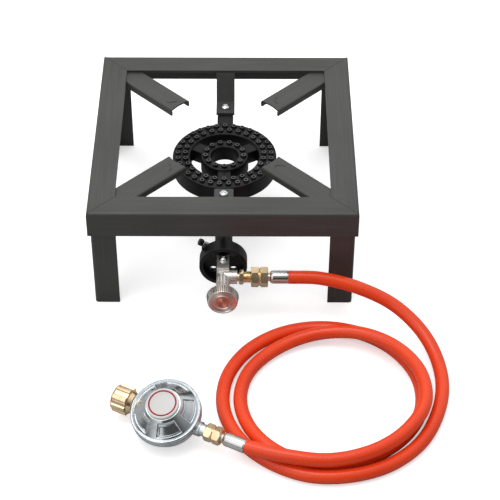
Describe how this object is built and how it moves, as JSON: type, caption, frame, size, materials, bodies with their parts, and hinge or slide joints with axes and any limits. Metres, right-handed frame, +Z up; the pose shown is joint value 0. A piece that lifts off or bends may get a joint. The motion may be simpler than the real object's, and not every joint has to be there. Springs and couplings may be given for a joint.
{
  "type": "propane burner stand",
  "caption": "Square angle-iron stand with a ring burner on brackets, an air shutter, a needle valve with a knob, and a gas hose that ends in a regulator with a hand nut.",
  "frame": {"origin": "on the floor that the legs stand on, straight below the burner's centre", "axes": "+X to the user's right, +Y away from the user, so the valve and its knob are at -Y; +Z up out of the burner"},
  "size_m": [0.3962, 0.5722, 0.135],
  "materials": {
    "stand_paint": "satin dark grey powder coat",
    "zinc_steel": "bright zinc plate",
    "burner_iron": "glossy black enamel",
    "nickel": "satin nickel plate",
    "brass": "satin",
    "knob_metal": "satin, fluted",
    "knob_disc": "turned rings",
    "ferrule_chrome": "polished",
    "hose_rubber": "satin with a faint braid",
    "regulator_zinc": "satin cast zinc",
    "seal_rubber": "matte",
    "cap_plastic": "gloss with a red ring",
    "adjuster_plastic": "matte"
  },
  "bodies": {
    "stand": {"rail_front": "stand_paint", "rail_rear": "stand_paint", "rail_left": "stand_paint", "rail_right": "stand_paint", "leg_front_left": "stand_paint", "leg_front_right": "stand_paint", "leg_rear_right": "stand_paint", "leg_rear_left": "stand_paint", "pot_support_front_left": "stand_paint", "pot_support_front_right": "stand_paint", "pot_support_rear_right": "stand_paint", "pot_support_rear_left": "stand_paint", "burner_bracket_front": "stand_paint", "burner_bracket_rear": "stand_paint", "bracket_screws": "zinc_steel", "bracket_washers": "zinc_steel", "bracket_nuts": "zinc_steel", "burner_casting": "burner_iron", "air_plate": "burner_iron", "valve_body": "nickel", "injector": "brass", "fork_clamp_screw": "zinc_steel", "spindle_seal": "seal_rubber", "packing_nut": "nickel", "inlet_nipple": "brass", "union_nut_valve": "brass", "hose_tail_valve": "nickel", "hose_ferrule_valve": "ferrule_chrome", "gas_hose": "hose_rubber", "hose_ferrule_regulator": "ferrule_chrome", "hose_tail_regulator": "nickel", "union_nut_regulator": "brass", "regulator_body": "regulator_zinc", "regulator_bonnet": "regulator_zinc", "diaphragm": "seal_rubber", "diaphragm_plate": "zinc_steel", "regulator_spring": "zinc_steel", "spring_adjuster": "adjuster_plastic", "label_cap": "cap_plastic", "regulator_lever": "brass", "lever_pin": "zinc_steel", "inlet_valve_pad": "seal_rubber", "inlet_stem": "brass", "inlet_seal": "seal_rubber"},
    "knob": {"valve_spindle": "brass", "valve_knob": "knob_metal", "knob_cap": "knob_disc"},
    "shutter": {"air_shutter": "burner_iron", "shutter_lock_screw": "zinc_steel", "shutter_spring": "zinc_steel"},
    "hand_nut": {"inlet_hand_nut": "brass"}
  },
  "joints": [
    {"name": "knob_turn", "type": "hinge", "parent": "stand", "child": "knob", "pos_m": [0, -0.2, 0.056], "axis": [0, -1, 0], "range_deg": [0, 270]},
    {"name": "air_shutter_turn", "type": "hinge", "parent": "stand", "child": "shutter", "pos_m": [0, -0.135, 0.056], "axis": [0, 1, 0], "range_deg": [0, 45]},
    {"name": "hand_nut_spin", "type": "hinge", "parent": "stand", "child": "hand_nut", "pos_m": [-0.10141, -0.32208, 0.0225], "axis": [-0.891, 0.454, 0], "continuous": true}
  ]
}
